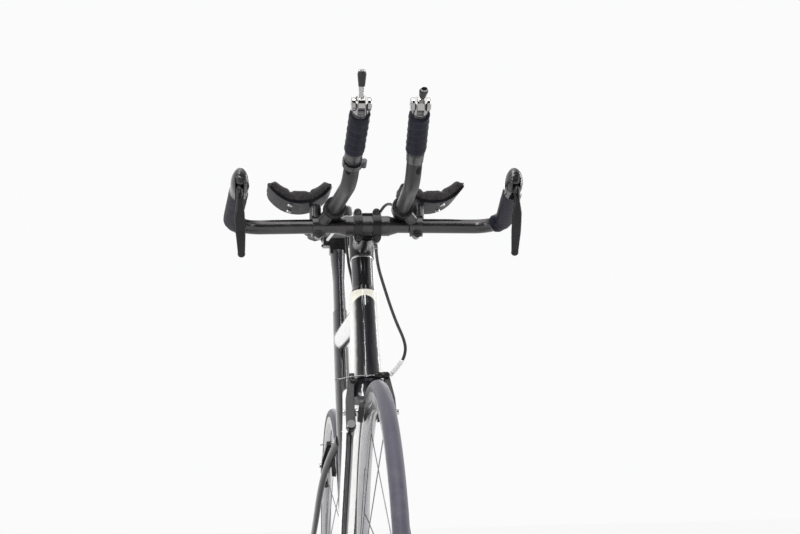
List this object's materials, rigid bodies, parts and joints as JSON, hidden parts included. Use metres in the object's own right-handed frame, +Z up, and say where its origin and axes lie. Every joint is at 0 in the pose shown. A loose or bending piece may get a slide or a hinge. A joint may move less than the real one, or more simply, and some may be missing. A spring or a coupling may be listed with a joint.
{
  "type": "time trial bicycle",
  "caption": "Race bicycle for time trials with aero frame, base bar with brake levers, aerobar extensions with armrests and end shifters, rim brakes, chain drive and turning wheels.",
  "frame": {"origin": "on the ground, midway between the axles and on the centre plane", "axes": "+X forward, +Y to the rider's left, +Z up"},
  "size_m": [1.6679, 0.4408, 1.0548],
  "materials": {
    "frame_paint": "gloss black with white panels",
    "black_alloy": "satin dark grey",
    "silver_alloy": "satin",
    "steel": "bright",
    "tyre": "slick",
    "tape": "soft wrapped",
    "foam": "matt",
    "cover": "matt",
    "plastic": "matt",
    "chrome": "polished",
    "housing": "gloss"
  },
  "bodies": {
    "frame": {"frame": "frame_paint", "seatpost": "black_alloy", "saddle_clamp": "silver_alloy", "saddle_shell": "plastic", "saddle_pad": "cover", "saddle_rails": "steel", "headset_bearings": "steel", "bottom_bracket_cups": "black_alloy", "front_derailleur": "silver_alloy", "rear_derailleur": "silver_alloy", "derailleur_cage": "black_alloy", "chain": "steel", "rear_axle": "steel", "rear_cables": "housing"},
    "steering": {"fork": "frame_paint", "headset_spacers": "black_alloy", "stem": "black_alloy", "stem_straps": "black_alloy", "cockpit_bolts": "steel", "base_bar": "black_alloy", "horn_tape": "tape", "brake_bodies": "black_alloy", "aerobar_brackets": "black_alloy", "armrest_cups": "plastic", "armrest_pads": "foam", "extensions": "black_alloy", "extension_tape": "tape", "shifter_bodies": "silver_alloy", "front_axle": "steel", "front_brake_cable": "housing", "shift_cables": "housing"},
    "front_wheel": {"front_tyre": "tyre", "front_rim": "silver_alloy", "front_spokes": "steel", "front_hub": "black_alloy"},
    "rear_wheel": {"rear_tyre": "tyre", "rear_rim": "silver_alloy", "rear_spokes": "steel", "rear_hub": "black_alloy"},
    "cassette": {"cassette": "steel"},
    "crankset": {"crank_arm_right": "silver_alloy", "crank_arm_left": "silver_alloy", "outer_chainring": "black_alloy", "inner_chainring": "black_alloy", "chainring_bolts": "steel", "pedal_axles": "steel"},
    "left_pedal": {"pedal_left": "plastic"},
    "right_pedal": {"pedal_right": "plastic"},
    "left_brake_lever": {"brake_lever_left": "black_alloy"},
    "right_brake_lever": {"brake_lever_right": "black_alloy"},
    "left_shifter": {"shifter_lever_left": "chrome"},
    "right_shifter": {"shifter_lever_right": "chrome"},
    "front_left_arm": {"front_brake_arm_left": "black_alloy"},
    "front_right_arm": {"front_brake_arm_right": "black_alloy"},
    "rear_left_arm": {"rear_brake_arm_left": "black_alloy"},
    "rear_right_arm": {"rear_brake_arm_right": "black_alloy"},
    "upper_jockey": {"upper_jockey_wheel": "plastic"},
    "lower_jockey": {"lower_jockey_wheel": "plastic"},
    "front_release": {"front_qr_lever": "silver_alloy"},
    "rear_release": {"rear_qr_lever": "silver_alloy"}
  },
  "joints": [
    {"name": "steering", "type": "hinge", "parent": "frame", "child": "steering", "pos_m": [0.45708, 0, 0.32047], "axis": [-0.3007, 0, 0.9537], "range_deg": [-60, 60], "deforming": ["shift_cables"]},
    {"name": "front_wheel_spin", "type": "hinge", "parent": "steering", "child": "front_wheel", "pos_m": [0.5, 0, 0.334], "axis": [0, 1, 0], "continuous": true},
    {"name": "rear_wheel_spin", "type": "hinge", "parent": "frame", "child": "rear_wheel", "pos_m": [-0.5, 0, 0.334], "axis": [0, 1, 0], "continuous": true},
    {"name": "crank_spin", "type": "hinge", "parent": "frame", "child": "crankset", "pos_m": [-0.1011, 0, 0.264], "axis": [0, 1, 0], "continuous": true},
    {"name": "cassette_spin", "type": "hinge", "parent": "frame", "child": "cassette", "pos_m": [-0.5, 0, 0.334], "axis": [0, 1, 0], "continuous": true},
    {"name": "left_pedal_spin", "type": "hinge", "parent": "crankset", "child": "left_pedal", "pos_m": [-0.27359, 0.109, 0.264], "axis": [0, 1, 0], "continuous": true},
    {"name": "right_pedal_spin", "type": "hinge", "parent": "crankset", "child": "right_pedal", "pos_m": [0.0714, -0.109, 0.264], "axis": [0, 1, 0], "continuous": true},
    {"name": "left_brake_pull", "type": "hinge", "parent": "steering", "child": "left_brake_lever", "pos_m": [0.5728, 0.19712, 0.93899], "axis": [0, 1, 0], "range_deg": [0, 20], "stiffness_Nm_per_rad": 0.6, "springref_deg": -8.59},
    {"name": "right_brake_pull", "type": "hinge", "parent": "steering", "child": "right_brake_lever", "pos_m": [0.5728, -0.19712, 0.93899], "axis": [0, 1, 0], "range_deg": [0, 20], "stiffness_Nm_per_rad": 0.6, "springref_deg": -8.59},
    {"name": "left_shift", "type": "hinge", "parent": "steering", "child": "left_shifter", "pos_m": [0.77812, 0.03892, 1.01299], "axis": [0, -1, 0], "range_deg": [-35, 45]},
    {"name": "right_shift", "type": "hinge", "parent": "steering", "child": "right_shifter", "pos_m": [0.77812, -0.03892, 1.01299], "axis": [0, -1, 0], "range_deg": [-75, 15]},
    {"name": "front_left_arm_close", "type": "hinge", "parent": "steering", "child": "front_left_arm", "pos_m": [0.38071, 0.0315, 0.59283], "axis": [0.9082, 0, 0.4186], "range_deg": [0, 2.6], "deforming": ["front_brake_cable"]},
    {"name": "front_right_arm_close", "type": "hinge", "parent": "steering", "child": "front_right_arm", "pos_m": [0.38071, -0.0315, 0.59283], "axis": [-0.9082, 0, -0.4186], "range_deg": [0, 2.6]},
    {"name": "rear_left_arm_close", "type": "hinge", "parent": "frame", "child": "rear_left_arm", "pos_m": [-0.27892, 0.0315, 0.51386], "axis": [0.6311, 0, -0.7757], "range_deg": [0, 2.6], "deforming": ["rear_cables"]},
    {"name": "rear_right_arm_close", "type": "hinge", "parent": "frame", "child": "rear_right_arm", "pos_m": [-0.27892, -0.0315, 0.51386], "axis": [-0.6311, 0, 0.7757], "range_deg": [0, 2.6]},
    {"name": "upper_jockey_spin", "type": "hinge", "parent": "frame", "child": "upper_jockey", "pos_m": [-0.494, -0.0465, 0.271], "axis": [0, 1, 0], "continuous": true},
    {"name": "lower_jockey_spin", "type": "hinge", "parent": "frame", "child": "lower_jockey", "pos_m": [-0.47302, -0.0465, 0.21908], "axis": [0, 1, 0], "continuous": true},
    {"name": "front_release_open", "type": "hinge", "parent": "steering", "child": "front_release", "pos_m": [0.5, 0.0713, 0.334], "axis": [0, 0, -1], "range_deg": [0, 180]},
    {"name": "rear_release_open", "type": "hinge", "parent": "frame", "child": "rear_release", "pos_m": [-0.5, 0.0863, 0.334], "axis": [0, 0, -1], "range_deg": [0, 180]}
  ],
  "couplings": [
    {"joint": "cassette_spin", "follows": "crank_spin", "ratio": 3.4667},
    {"joint": "upper_jockey_spin", "follows": "crank_spin", "ratio": -4.7273},
    {"joint": "lower_jockey_spin", "follows": "crank_spin", "ratio": 4.7273},
    {"joint": "front_left_arm_close", "follows": "left_brake_pull", "ratio": 0.13},
    {"joint": "front_right_arm_close", "follows": "left_brake_pull", "ratio": 0.13},
    {"joint": "rear_left_arm_close", "follows": "right_brake_pull", "ratio": 0.13},
    {"joint": "rear_right_arm_close", "follows": "right_brake_pull", "ratio": 0.13}
  ]
}
